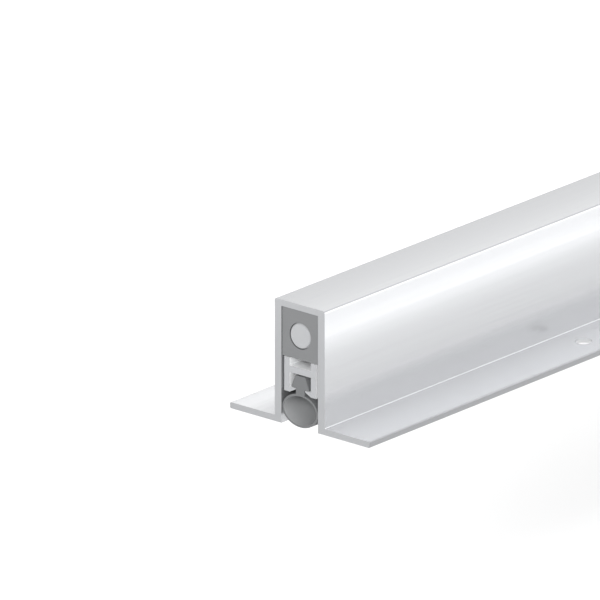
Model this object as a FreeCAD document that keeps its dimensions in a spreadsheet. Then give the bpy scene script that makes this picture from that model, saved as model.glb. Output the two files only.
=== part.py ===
"""Automatic drop-down door seal: a flanged aluminium housing and a seal carrier that a button lowers.

Frame: X runs along the door's width with the button at the -X end, Y runs across the door leaf, and +Z
is up. The origin is in the plane of the flanges' underside, at the middle of the housing. All sizes are
in millimetres.

How it works: pressing the button slides the rod train along +X. Two cam plates on the train have slanted
slots, which push the carrier's cross pins straight down in the fixed lift guides, and a coil spring
returns the train.
"""
import FreeCAD, Part
import Sketcher
import os

DOC = FreeCAD.newDocument("drop_down_door_seal")

# --------------------------------------------------------------------------------------------------
# Driving dimensions: alias, value and what it is
# --------------------------------------------------------------------------------------------------
SIZES = [
    ("overall_length", 335.0, "housing length, end to end"),
    ("housing_height", 30.0, "housing height over the flanges' underside"),
    ("housing_width", 15.0, "outside width of the upright channel"),
    ("side_wall", 2.0, "thickness of the channel's two side walls"),
    ("roof_wall", 1.5, "thickness of the channel's roof"),
    ("flange_reach", 13.5, "how far each flange stands out from its wall"),
    ("flange_thick", 1.5, "flange thickness"),
    ("corner_radius", 0.5, "outer radius along the channel's top edges"),
    ("edge_radius", 0.3, "radius along the flange tips and in the flange corners"),
    ("flange_hole", 4.0, "diameter of the flange's screw holes"),
    ("flange_sink", 6.0, "diameter of their countersinks, on the underside"),
    ("hole_inset", 85.0, "distance of the outer screw holes from the housing's ends"),
    ("end_setback", 0.2, "how far the inner pieces stop behind the housing's cut ends"),
    ("fit_gap", 0.1, "clearance of a piece that slides or is fitted by hand"),
    ("pin_gap", 0.03, "radial clearance of a riveted or pressed pin in its hole"),
    ("bulb_gap", 0.15, "gap between the rubber tube and the housing's walls"),
    ("bulb_height", 8.0, "height of the rubber tube at the bottom of the seal"),
    ("bulb_wall", 0.5, "its wall"),
    ("bulb_lift", 0.1, "its height above the flanges' underside when it is drawn up"),
    ("carrier_gap", 0.7, "gap between the H-shaped carrier and the housing's walls"),
    ("carrier_leg", 1.6, "thickness of the carrier's two upright legs"),
    ("web_thick", 1.6, "thickness of its cross web"),
    ("upper_channel", 1.9, "depth of the open channel above the web"),
    ("root_channel", 3.6, "height of the channel that holds the seal's root"),
    ("lip_height", 1.2, "height of the top of the carrier's inward lips above its feet"),
    ("lip_edge", 0.3, "thickness of the lips at their tips"),
    ("lip_opening", 3.0, "opening between the two lips"),
    ("neck_gap", 0.2, "gap on each side of the seal's neck, between the lips"),
    ("barb_gap", 0.6, "gap on each side of the seal's barbs, in the root channel"),
    ("barb_edge", 0.4, "height of the barbs' upright edge"),
    ("root_crown", 3.0, "width of the flat top of the seal's root"),
    ("root_gap", 0.4, "gap above the seal's root, under the web"),
    ("stop_gap", 0.15, "gap over the carrier's legs when the seal is drawn up"),
    ("press_travel", 8.0, "travel of the button from rest to fully pressed"),
    ("adjust_travel", 8.0, "how far the button can be screwed out along its thread"),
    ("thread_grip", 6.0, "length of thread that still holds the button then"),
    ("button_diameter", 6.2, "release button"),
    ("button_length", 20.0, "release button, face to rear"),
    ("button_chamfer", 0.3, "chamfer round both ends of the button"),
    ("thread_diameter", 4.0, "threaded front end of the actuator rod"),
    ("rod_diameter", 5.0, "actuator, link and tail rods"),
    ("axis_offset", 0.2, "height of the rod axis below the middle of the guide blocks"),
    ("block_length", 22.0, "guide block at either end of the housing"),
    ("collar_diameter", 8.6, "spring collar"),
    ("collar_width", 2.5, "spring collar, along the rod"),
    ("collar_pin", 1.2, "diameter of the pin through the collar"),
    ("spring_length", 30.0, "return spring, fitted and at rest"),
    ("spring_diameter", 7.6, "return spring, outside"),
    ("spring_wire", 0.7, "return spring wire"),
    ("spring_turns", 11.0, "return spring, number of turns"),
    ("seat_length", 8.0, "fixed seat behind the return spring"),
    ("station_gap", 7.3, "free space between the spring seat and the front cam plate"),
    ("guide_length", 20.0, "lift guide, along the housing"),
    ("guide_roof", 0.9, "thickness of the lift guide's roof"),
    ("cross_pin", 2.0, "diameter of the carrier's cross pins"),
    ("cam_thick", 2.0, "cam plate"),
    ("cam_margin", 1.2, "metal left round the cam plate's slot"),
    ("cam_tab", 7.0, "length of the tab that each rod is riveted to"),
    ("tab_height", 4.4, "height of that tab"),
    ("cam_gap", 0.3, "gap between a cam plate and the seal's root"),
    ("lug_thick", 0.8, "sheet of the lifting lugs"),
    ("lug_gap", 0.2, "gap between a lifting lug and the cam plate beside it"),
    ("lug_width", 5.0, "upright ear of a lifting lug"),
    ("lug_pass", 0.3, "gap between a lifting lug's ear and the rod ends on either side"),
    ("lug_base", 16.0, "foot of a lifting lug, along the housing"),
    ("lug_foot", 4.0, "length of each widened end of that foot"),
    ("lug_rivet", 1.2, "diameter of the rivets that hold the lugs"),
    ("rivet_head", 1.8, "diameter of their heads"),
    ("tine_thick", 0.8, "tines of the lift guide that reach into the carrier"),
    ("tine_width", 6.0, "tines, along the housing"),
    ("tine_gap", 0.3, "gap between the tines and the carrier's legs"),
    ("rod_rivet", 2.0, "diameter of the rivets through the rods' forked ends"),
    ("screw_head", 4.2, "head diameter of the countersunk block screws"),
    ("screw_shank", 2.2, "shank diameter of the block screws"),
    ("screw_bite", 1.6, "how far the block screws reach into the blocks"),
    ("screw_height", 3.0, "height of the block screws above the blocks' underside"),
    ("screw_inset", 7.0, "distance of a lift guide's two screws from its middle"),
]

SHEET = DOC.addObject("Spreadsheet::Sheet", "Sizes")
for row, (alias, value, meaning) in enumerate(SIZES, start=1):
    SHEET.set(f"A{row}", meaning)
    SHEET.set(f"B{row}", str(value))
    SHEET.setAlias(f"B{row}", alias)
DOC.recompute()

# --------------------------------------------------------------------------------------------------
# Places worked out from the driving dimensions, as live expressions
# --------------------------------------------------------------------------------------------------
# Across the housing, from its middle plane outwards
WALL_OUT = "(Sizes.housing_width / 2)"
WALL_IN = f"({WALL_OUT} - Sizes.side_wall)"
FLANGE_TIP = f"({WALL_OUT} + Sizes.flange_reach)"
FLANGE_MIDDLE = f"({WALL_OUT} + Sizes.flange_reach / 2)"
BLOCK_SIDE = f"({WALL_IN} - Sizes.fit_gap)"
BUTTON_BORE = "(Sizes.button_diameter + 2 * Sizes.fit_gap)"
SCREW_TIP = f"max({BLOCK_SIDE} - Sizes.screw_bite; {BUTTON_BORE} / 2 + Sizes.fit_gap)"
CARRIER_SIDE = f"({WALL_IN} - Sizes.carrier_gap)"
LUG_IN = "(Sizes.cam_thick / 2 + Sizes.lug_gap)"
LUG_OUT = f"({LUG_IN} + Sizes.lug_thick)"
CAVITY_SIDE = f"({LUG_OUT} + Sizes.fit_gap)"
TINE_OUT = f"({CAVITY_SIDE} + Sizes.tine_thick)"
# The carrier's legs give way where the cam plate, lugs and tines need the room between them
LEG_IN = f"max({CARRIER_SIDE} - Sizes.carrier_leg; {TINE_OUT} + Sizes.tine_gap)"
FOOT_OUT = f"({LEG_IN} - Sizes.fit_gap)"
RIVET_SIDE = f"(({LUG_IN} + {FOOT_OUT}) / 2)"

# Upwards, from the flanges' underside
BULB_MIDDLE = "(Sizes.bulb_lift + Sizes.bulb_height / 2)"
CARRIER_FOOT = "(Sizes.bulb_lift + Sizes.bulb_height)"
LIP_TOP = f"({CARRIER_FOOT} + Sizes.lip_height)"
WEB_UNDER = f"({LIP_TOP} + Sizes.root_channel)"
ROOT_TOP = f"({WEB_UNDER} - Sizes.root_gap)"
WEB_TOP = f"({WEB_UNDER} + Sizes.web_thick)"
LEG_TOP = f"({WEB_TOP} + Sizes.upper_channel)"
BLOCK_UNDER = f"({LEG_TOP} + Sizes.stop_gap)"
SLOT_RADIUS = "(Sizes.cross_pin / 2 + Sizes.fit_gap)"
ROOF_UNDER = "(Sizes.housing_height - Sizes.roof_wall)"
BLOCK_TOP = f"({ROOF_UNDER} - Sizes.fit_gap)"
AXIS = f"(({BLOCK_UNDER} + {BLOCK_TOP}) / 2 - Sizes.axis_offset)"
CAVITY_TOP = f"({BLOCK_TOP} - Sizes.guide_roof)"
CAM_TOP = f"({CAVITY_TOP} - Sizes.fit_gap)"
CAM_UNDER = f"({ROOT_TOP} + Sizes.cam_gap)"
PIN_REST = f"({CAM_TOP} - Sizes.cam_margin - {SLOT_RADIUS})"
PIN_LOW = f"({CAM_UNDER} + Sizes.cam_margin + {SLOT_RADIUS})"
SEAL_DROP = f"({PIN_REST} - {PIN_LOW})"
SCREW_Z = f"({BLOCK_UNDER} + Sizes.screw_height)"

# Round the rod axis: the free radius, and the collar and spring, no larger than it allows
ROD_ROOM = f"(min({AXIS} - {LEG_TOP}; {ROOF_UNDER} - {AXIS}; {WALL_IN}) - Sizes.fit_gap)"
COLLAR_SIZE = f"min(Sizes.collar_diameter; 2 * {ROD_ROOM})"
SPRING_SIZE = f"min(Sizes.spring_diameter; 2 * {ROD_ROOM})"

# Along the housing, from the middle
INNER_LENGTH = "(Sizes.overall_length - 2 * Sizes.end_setback)"
FRONT = f"(-{INNER_LENGTH} / 2)"
REAR = f"({INNER_LENGTH} / 2)"
BLOCK_REAR = f"({FRONT} + Sizes.block_length)"
COLLAR_FRONT = f"({BLOCK_REAR} + 4 * Sizes.fit_gap)"
SPRING_FRONT = f"({COLLAR_FRONT} + Sizes.collar_width)"
SEAT_FRONT = f"({SPRING_FRONT} + Sizes.spring_length)"
SEAT_REAR = f"({SEAT_FRONT} + Sizes.seat_length)"
CAM_AHEAD = f"(Sizes.press_travel + {SLOT_RADIUS} + Sizes.cam_margin)"
CAM_BEHIND = f"({SLOT_RADIUS} + Sizes.cam_margin)"
FRONT_STATION = f"({SEAT_REAR} + Sizes.station_gap + Sizes.cam_tab + {CAM_AHEAD})"
STATIONS = [("front", FRONT_STATION), ("rear", f"(-{FRONT_STATION})")]
THREAD = "(Sizes.adjust_travel + Sizes.thread_grip)"
ROD_PASS = "(Sizes.lug_width / 2 + Sizes.lug_pass)"
TAIL_BLOCK = f"({REAR} - Sizes.block_length)"
HOLE_PITCH = "(Sizes.overall_length / 2 - Sizes.hole_inset)"

SIDES = [("left", 1), ("right", -1)]
ALONG_X = FreeCAD.Rotation(FreeCAD.Vector(0, 1, 0), 90)
ALONG_Y = FreeCAD.Rotation(FreeCAD.Vector(1, 0, 0), -90)
SECTION = FreeCAD.Rotation(FreeCAD.Vector(1, 1, 1), 120)
SUB_PARTS = []


# --------------------------------------------------------------------------------------------------
# Building blocks
# --------------------------------------------------------------------------------------------------
def bind(thing, **expressions):
    """Ties properties to expressions; a double underscore in a key stands for a dot."""
    for key, expression in expressions.items():
        thing.setExpression(key.replace("__", "."), expression)
    return thing


def place(thing, x="0", y="0", z="0", turn=None):
    """Ties an object's position to expressions, with a fixed rotation."""
    if turn is not None:
        thing.Placement = FreeCAD.Placement(FreeCAD.Vector(), turn)
    return bind(thing, Placement__Base__x=x, Placement__Base__y=y, Placement__Base__z=z)


def sub_part(thing, label):
    """Names an object as one of the assembly's pieces."""
    thing.Label = label
    SUB_PARTS.append(thing)
    return thing


def span(ends):
    """The distance between a (low, high) pair of expressions."""
    return f"({ends[1]}) - ({ends[0]})"


def box(name, x, y, z):
    """A box from three (low, high) pairs of expressions."""
    made = DOC.addObject("Part::Box", name)
    bind(made, Length=span(x), Width=span(y), Height=span(z))
    return place(made, x[0], y[0], z[0])


def rod(name, diameter, x, y="0", z=AXIS):
    """A cylinder along X between two expressions."""
    made = DOC.addObject("Part::Cylinder", name)
    bind(made, Radius=f"({diameter}) / 2", Height=span(x))
    return place(made, x[0], y, z, ALONG_X)


def cross(name, diameter, x, y, z):
    """A cylinder along Y between two expressions."""
    made = DOC.addObject("Part::Cylinder", name)
    bind(made, Radius=f"({diameter}) / 2", Height=span(y))
    return place(made, x, y[0], z, ALONG_Y)


def upright(name, diameter, x, y, z):
    """A cylinder along Z between two expressions."""
    made = DOC.addObject("Part::Cylinder", name)
    bind(made, Radius=f"({diameter}) / 2", Height=span(z))
    return place(made, x, y, z[0])


def fuse(name, *pieces):
    """Several overlapping objects as one."""
    made = DOC.addObject("Part::MultiFuse", name)
    made.Shapes = list(pieces)
    made.Refine = True
    return made


def cut(name, base, *tools):
    """The base with every tool taken away."""
    made = DOC.addObject("Part::Cut", name)
    made.Base = base
    made.Tool = tools[0] if len(tools) == 1 else fuse(name + "_tools", *tools)
    made.Refine = True
    return made


def group(name, pieces):
    """Several separate solids as one sub-part."""
    made = DOC.addObject("Part::Compound", name)
    made.Links = list(pieces)
    return made


def plane_of(body, role):
    """The body's own origin plane with that role."""
    return next(o for o in body.Origin.OriginFeatures if o.Role == role)


def outline(body, role, name, points):
    """A closed polygon on one of the body's origin planes, each corner tied to a pair of expressions."""
    sketch = body.newObject("Sketcher::SketchObject", name)
    sketch.AttachmentSupport = [(plane_of(body, role), "")]
    sketch.MapMode = "FlatFace"
    seeds = [FreeCAD.Vector(number(u), number(v), 0) for u, v in points]
    for i, seed in enumerate(seeds):
        sketch.addGeometry(Part.LineSegment(seed, seeds[(i + 1) % len(seeds)]), False)
    for i in range(len(points)):
        sketch.addConstraint(Sketcher.Constraint("Coincident", i, 2, (i + 1) % len(points), 1))
    for i, (u, v) in enumerate(points):
        for kind, expression, seed in (("DistanceX", u, seeds[i].x), ("DistanceY", v, seeds[i].y)):
            index = sketch.addConstraint(Sketcher.Constraint(kind, -1, 1, i, 1, seed))
            sketch.setExpression(f"Constraints[{index}]", expression)
    return sketch


def number(expression):
    """The present value of an expression, to seed a sketch with."""
    return float(SHEET.evalExpression(expression.replace("Sizes.", "")))


def circles(body, role, name, centres, diameter):
    """Circles on one of the body's origin planes, each centre tied to a pair of expressions."""
    sketch = body.newObject("Sketcher::SketchObject", name)
    sketch.AttachmentSupport = [(plane_of(body, role), "")]
    sketch.MapMode = "FlatFace"
    for i, (u, v) in enumerate(centres):
        centre = FreeCAD.Vector(number(u), number(v), 0)
        sketch.addGeometry(Part.Circle(centre, FreeCAD.Vector(0, 0, 1), number(diameter) / 2), False)
        for kind, expression, seed in (("DistanceX", u, centre.x), ("DistanceY", v, centre.y)):
            index = sketch.addConstraint(Sketcher.Constraint(kind, -1, 1, i, 3, seed))
            sketch.setExpression(f"Constraints[{index}]", expression)
        index = sketch.addConstraint(Sketcher.Constraint("Diameter", i, number(diameter)))
        sketch.setExpression(f"Constraints[{index}]", diameter)
    return sketch


def pad(body, sketch, length):
    """Extrudes a sketch both ways from its plane."""
    made = body.newObject("PartDesign::Pad", sketch.Name + "_pad")
    made.Profile = sketch
    made.SideType = "Symmetric"
    bind(made, Length=length)
    sketch.Visibility = False
    return made


def edges_along_x(feature, wanted):
    """Names of the feature's straight edges along X whose (|y|, z) is in the wanted list."""
    found = []
    for i, edge in enumerate(feature.Shape.Edges, start=1):
        bounds = edge.BoundBox
        if bounds.YLength > 1e-6 or bounds.ZLength > 1e-6:
            continue
        if any(abs(abs(bounds.YMax) - y) < 1e-6 and abs(bounds.ZMax - z) < 1e-6 for y, z in wanted):
            found.append(f"Edge{i}")
    return found


def rounded(body, feature, name, wanted, radius):
    """Rounds the feature's long edges at the wanted (|y|, z) places."""
    DOC.recompute()
    made = body.newObject("PartDesign::Fillet", name)
    made.Base = (feature, edges_along_x(feature, [(number(y), number(z)) for y, z in wanted]))
    bind(made, Radius=radius)
    return made


# --------------------------------------------------------------------------------------------------
# Housing: one extrusion, an inverted channel with a flange along each foot
# --------------------------------------------------------------------------------------------------
def screw_places():
    """(x, z) of the countersunk screws that hold the inner blocks, through the left wall."""
    seat_middle = f"({SEAT_FRONT} + {SEAT_REAR}) / 2"
    places = [(f"{FRONT} + Sizes.block_length / 2", SCREW_Z), (seat_middle, SCREW_Z)]
    for _, station in STATIONS:
        places += [(f"{station} - Sizes.screw_inset", SCREW_Z), (f"{station} + Sizes.screw_inset", SCREW_Z)]
    return places + [(f"{REAR} - Sizes.block_length / 2", SCREW_Z)]


def countersunk(name, x, z, shank, head, tip):
    """A countersunk screw's outline, flush with the left wall's outer face and pointing inwards."""
    sink = DOC.addObject("Part::Cone", name + "_sink")
    bind(sink, Radius1=f"({head}) / 2", Radius2=f"({shank}) / 2", Height=f"(({head}) - ({shank})) / 2")
    place(sink, x, WALL_OUT, z, FreeCAD.Rotation(FreeCAD.Vector(1, 0, 0), 90))
    stem = cross(name + "_stem", shank, x, (tip, WALL_OUT), z)
    return fuse(name, sink, stem)


def make_housing():
    """The extrusion, its screw holes through the flanges and the countersinks in its left wall."""
    body = DOC.addObject("PartDesign::Body", "housing_extrusion")
    right = [
        (WALL_IN, ROOF_UNDER), (WALL_IN, "0"), (FLANGE_TIP, "0"), (FLANGE_TIP, "Sizes.flange_thick"),
        (WALL_OUT, "Sizes.flange_thick"), (WALL_OUT, "Sizes.housing_height"),
    ]
    left = [(f"-{y}", z) for y, z in reversed(right)]
    sketch = outline(body, "YZ_Plane", "channel_section", right + left)
    length = pad(body, sketch, "Sizes.overall_length")
    top = rounded(body, length, "top_edges", [(WALL_OUT, "Sizes.housing_height")], "Sizes.corner_radius")
    flange = [(FLANGE_TIP, "Sizes.flange_thick"), (FLANGE_TIP, "0"), (WALL_OUT, "Sizes.flange_thick")]
    rounded(body, top, "flange_edges", flange, "Sizes.edge_radius")
    DOC.recompute()
    rows = (f"-{HOLE_PITCH}", "0", HOLE_PITCH)
    centres = [(x, f"{sign}{FLANGE_MIDDLE}") for x in rows for sign in ("-", "")]
    drilled = body.newObject("PartDesign::Hole", "flange_screw_holes")
    drilled.Profile = circles(body, "XY_Plane", "flange_hole_centres", centres, "Sizes.flange_hole")
    drilled.Reversed = True
    drilled.DepthType = "ThroughAll"
    drilled.HoleCutType = "Countersink"
    drilled.HoleCutCustomValues = True
    bind(drilled, Diameter="Sizes.flange_hole", HoleCutDiameter="Sizes.flange_sink")
    drilled.HoleCutCountersinkAngle = 90
    wider = "2 * Sizes.pin_gap"
    holes = [
        countersunk(f"wall_hole_{i}", x, z, f"Sizes.screw_shank + {wider}", f"Sizes.screw_head + {wider}",
                    f"{WALL_IN} - Sizes.fit_gap / 2")
        for i, (x, z) in enumerate(screw_places())
    ]
    sub_part(cut("housing", body, *holes), "housing")


# --------------------------------------------------------------------------------------------------
# Carrier and seal
# --------------------------------------------------------------------------------------------------
def make_carrier():
    """The H-shaped extrusion, with a window in its web for each cam plate."""
    body = DOC.addObject("PartDesign::Body", "carrier_extrusion")
    lip_in = "(Sizes.lip_opening / 2)"
    lip_tip = f"({LIP_TOP} - Sizes.lip_edge)"
    half = [
        (CARRIER_SIDE, CARRIER_FOOT), (CARRIER_SIDE, LEG_TOP), (LEG_IN, LEG_TOP), (LEG_IN, WEB_TOP),
        (f"-{LEG_IN}", WEB_TOP), (f"-{LEG_IN}", LEG_TOP), (f"-{CARRIER_SIDE}", LEG_TOP),
        (f"-{CARRIER_SIDE}", CARRIER_FOOT), (f"-{LEG_IN}", CARRIER_FOOT), (f"-{lip_in}", lip_tip),
        (f"-{lip_in}", LIP_TOP), (f"-{LEG_IN}", LIP_TOP), (f"-{LEG_IN}", WEB_UNDER), (LEG_IN, WEB_UNDER),
        (LEG_IN, LIP_TOP), (lip_in, LIP_TOP), (lip_in, lip_tip), (LEG_IN, CARRIER_FOOT),
    ]
    pad(body, outline(body, "YZ_Plane", "h_section", half), INNER_LENGTH)
    tools = []
    for name, station in STATIONS:
        sweep = f"(({WEB_TOP} - {CAM_UNDER}) * Sizes.press_travel / {SEAL_DROP})"
        ahead = f"{station} - {CAM_AHEAD} - Sizes.lug_pass"
        behind = f"{station} + {CAM_BEHIND} + {sweep} + Sizes.lug_pass"
        through = (f"{WEB_UNDER} - 1", f"{WEB_TOP} + 1")
        tools.append(box(f"{name}_web_window", (ahead, behind), (f"-{LUG_IN}", LUG_IN), through))
    for i, (x, y) in enumerate(lug_rivet_places()):
        hole = "Sizes.lug_rivet + 2 * Sizes.pin_gap"
        through = (f"{WEB_UNDER} - 1", f"{WEB_TOP} + 1")
        tools.append(upright(f"web_rivet_hole_{i}", hole, x, y, through))
    sub_part(cut("carrier_profile", body, *tools), "carrier_profile")


def oval(name, width, height):
    """An elliptic bar the length of the seal, centred on the bulb."""
    curve = DOC.addObject("Part::Ellipse", name + "_curve")
    bind(curve, MajorRadius=f"({width}) / 2", MinorRadius=f"({height}) / 2")
    place(curve, "0", "0", BULB_MIDDLE, SECTION)
    bar = DOC.addObject("Part::Extrusion", name)
    bar.Base = curve
    bar.DirMode = "Custom"
    bar.Dir = FreeCAD.Vector(1, 0, 0)
    bar.Solid = True
    bar.Symmetric = True
    return bind(bar, LengthFwd=INNER_LENGTH)


def make_seal():
    """The rubber seal: a hollow bulb below a barbed root that slides into the carrier's lips."""
    body = DOC.addObject("PartDesign::Body", "seal_root")
    seat = f"({LIP_TOP} + Sizes.fit_gap)"
    neck = f"({CARRIER_FOOT} - Sizes.bulb_wall / 2)"
    neck_side = "(Sizes.lip_opening / 2 - Sizes.neck_gap)"
    barb_side = f"({LEG_IN} - Sizes.barb_gap)"
    right = [
        (neck_side, neck), (neck_side, seat), (barb_side, seat), (barb_side, f"{seat} + Sizes.barb_edge"),
        ("Sizes.root_crown / 2", ROOT_TOP),
    ]
    left = [(f"-{y}", z) for y, z in reversed(right)]
    pad(body, outline(body, "YZ_Plane", "root_section", right + left), INNER_LENGTH)
    width = f"2 * ({WALL_IN} - Sizes.bulb_gap)"
    outer = oval("bulb_outside", width, "Sizes.bulb_height")
    inner = oval("bulb_inside", f"{width} - 2 * Sizes.bulb_wall", "Sizes.bulb_height - 2 * Sizes.bulb_wall")
    sub_part(cut("seal", fuse("seal_solid", outer, body), inner), "seal")


# --------------------------------------------------------------------------------------------------
# Blocks screwed inside the housing
# --------------------------------------------------------------------------------------------------
def block(name, x):
    """A plain block that fills the housing above the carrier, between two expressions along X."""
    return box(name, x, (f"-{BLOCK_SIDE}", BLOCK_SIDE), (BLOCK_UNDER, BLOCK_TOP))


def pilot(name, x, z):
    """The hole that a block screw bites into, from the block's left side."""
    tip = f"{SCREW_TIP} - Sizes.fit_gap"
    return cross(name, "Sizes.screw_shank + 2 * Sizes.pin_gap", x, (tip, f"{BLOCK_SIDE} + 1"), z)


def make_blocks():
    """The fixed blocks: the button's guide, the spring's seat, the tail's guide and the two lift guides."""
    front_screw, seat_screw, *guide_screws, rear_screw = screw_places()
    running = "Sizes.rod_diameter + 2 * Sizes.fit_gap"

    bore = rod("button_bore", BUTTON_BORE, (f"{FRONT} - 1", f"{BLOCK_REAR} + 1"))
    front = cut("end_guide_block", block("end_guide_blank", (FRONT, BLOCK_REAR)), bore,
                pilot("end_guide_pilot", *front_screw))
    sub_part(front, "end_guide_block")

    bore = rod("seat_bore", running, (f"{SEAT_FRONT} - 1", f"{SEAT_REAR} + 1"))
    seat = cut("spring_seat", block("spring_seat_blank", (SEAT_FRONT, SEAT_REAR)), bore,
               pilot("spring_seat_pilot", *seat_screw))
    sub_part(seat, "spring_seat")

    depth = "Sizes.block_length / 4 + Sizes.press_travel + 3"
    bore = rod("tail_bore", running, (f"{TAIL_BLOCK} - 1", f"{TAIL_BLOCK} + {depth}"))
    rear = cut("rear_guide_block", block("rear_guide_blank", (TAIL_BLOCK, REAR)), bore,
               pilot("rear_guide_pilot", *rear_screw))
    sub_part(rear, "rear_guide_block")

    for i, (name, station) in enumerate(STATIONS):
        make_lift_guide(name, station, guide_screws[2 * i:2 * i + 2], running)


def make_lift_guide(name, station, screws, running):
    """A saddle over one cam plate, slotted for it and its lugs, with grooves for the cross pin's ends."""
    half = "Sizes.guide_length / 2"
    ends = (f"{station} - {half}", f"{station} + {half}")
    over = (f"{station} - {half} - 1", f"{station} + {half} + 1")
    tine_under = f"({WEB_TOP} + 2 * Sizes.fit_gap)"
    tine_x = (f"{station} - Sizes.tine_width / 2", f"{station} + Sizes.tine_width / 2")
    tine_z = (tine_under, f"{BLOCK_UNDER} + 1")
    tall = (f"{tine_under} - 1", CAVITY_TOP)
    saddle = fuse(
        f"{name}_saddle",
        block(f"{name}_saddle_blank", ends),
        box(f"{name}_tine_left", tine_x, (CAVITY_SIDE, TINE_OUT), tine_z),
        box(f"{name}_tine_right", tine_x, (f"-{TINE_OUT}", f"-{CAVITY_SIDE}"), tine_z),
    )
    groove_side = f"({FOOT_OUT} + Sizes.fit_gap)"
    groove_top = f"{PIN_REST} + {SLOT_RADIUS} + Sizes.fit_gap"
    guide = cut(
        f"{name}_lift_guide",
        saddle,
        box(f"{name}_cam_cavity", over, (f"-{CAVITY_SIDE}", CAVITY_SIDE), tall),
        rod(f"{name}_rod_way", running, over),
        box(f"{name}_pin_groove", (f"{station} - {SLOT_RADIUS}", f"{station} + {SLOT_RADIUS}"),
            (f"-{groove_side}", groove_side), (f"{tine_under} - 1", groove_top)),
        *[pilot(f"{name}_guide_pilot_{i}", x, z) for i, (x, z) in enumerate(screws)],
    )
    sub_part(guide, f"{name}_lift_guide")


def make_block_screws():
    """The cross-slotted countersunk screws, flush with the housing's left wall."""
    screws = []
    for i, (x, z) in enumerate(screw_places()):
        solid = countersunk(f"screw_{i}_blank", x, z, "Sizes.screw_shank", "Sizes.screw_head", SCREW_TIP)
        slot_half = "Sizes.screw_head / 12"
        face = (f"{WALL_OUT} - Sizes.screw_head / 8", f"{WALL_OUT} + 1")
        reach = "Sizes.screw_head / 3.6"
        across = box(f"screw_{i}_slot_x", (f"{x} - {reach}", f"{x} + {reach}"), face,
                     (f"{z} - {slot_half}", f"{z} + {slot_half}"))
        upward = box(f"screw_{i}_slot_z", (f"{x} - {slot_half}", f"{x} + {slot_half}"), face,
                     (f"{z} - {reach}", f"{z} + {reach}"))
        screws.append(cut(f"screw_{i}", solid, across, upward))
    sub_part(group("block_screws", screws), "block_screws")


# --------------------------------------------------------------------------------------------------
# Rod train: button, rods, spring and cam plates
# --------------------------------------------------------------------------------------------------
def make_button():
    """The push button, turned, with a blind threaded hole for the actuator rod."""
    body = DOC.addObject("PartDesign::Body", "release_button")
    rear = f"({FRONT} + Sizes.button_length)"
    bottom = f"({rear} - {THREAD})"
    hole = "(Sizes.thread_diameter / 2 + Sizes.fit_gap)"
    side = "(Sizes.button_diameter / 2)"
    profile = [
        (FRONT, "0"), (FRONT, f"{side} - Sizes.button_chamfer"), (f"{FRONT} + Sizes.button_chamfer", side),
        (f"{rear} - Sizes.button_chamfer", side), (rear, f"{side} - Sizes.button_chamfer"), (rear, hole),
        (bottom, hole), (bottom, "0"),
    ]
    turned = body.newObject("PartDesign::Revolution", "button_turned")
    sketch = outline(body, "XZ_Plane", "button_profile", profile)
    turned.Profile = sketch
    turned.ReferenceAxis = (sketch, ["H_Axis"])
    turned.Angle = 360
    place(body, "0", "0", AXIS)
    sub_part(body, "release_button")


def fork_slot(name, x):
    """The slot in a rod's end that takes a cam plate's tab."""
    side = "(Sizes.cam_thick / 2 + Sizes.pin_gap)"
    tall = "Sizes.rod_diameter"
    return box(name, x, (f"-{side}", side), (f"{AXIS} - {tall}", f"{AXIS} + {tall}"))


def rivet_hole(name, x):
    """The cross hole for one of the rod rivets."""
    side = "Sizes.rod_diameter"
    return cross(name, "Sizes.rod_rivet + 2 * Sizes.pin_gap", x, (f"-{side}", side), AXIS)


def joint_places():
    """(rod end, tab end, rivet) along X where a rod meets the front and the back of each cam plate."""
    places = []
    for _, station in STATIONS:
        ahead = f"({station} - Sizes.press_travel - {ROD_PASS})"
        ahead_tab = f"({station} - {CAM_AHEAD} - Sizes.cam_tab)"
        behind = f"({station} + {ROD_PASS})"
        behind_tab = f"({station} + {CAM_BEHIND} + Sizes.cam_tab)"
        places.append((ahead, ahead_tab, f"(({ahead} + {ahead_tab}) / 2)"))
        places.append((behind, behind_tab, f"(({behind} + {behind_tab}) / 2)"))
    return places


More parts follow.
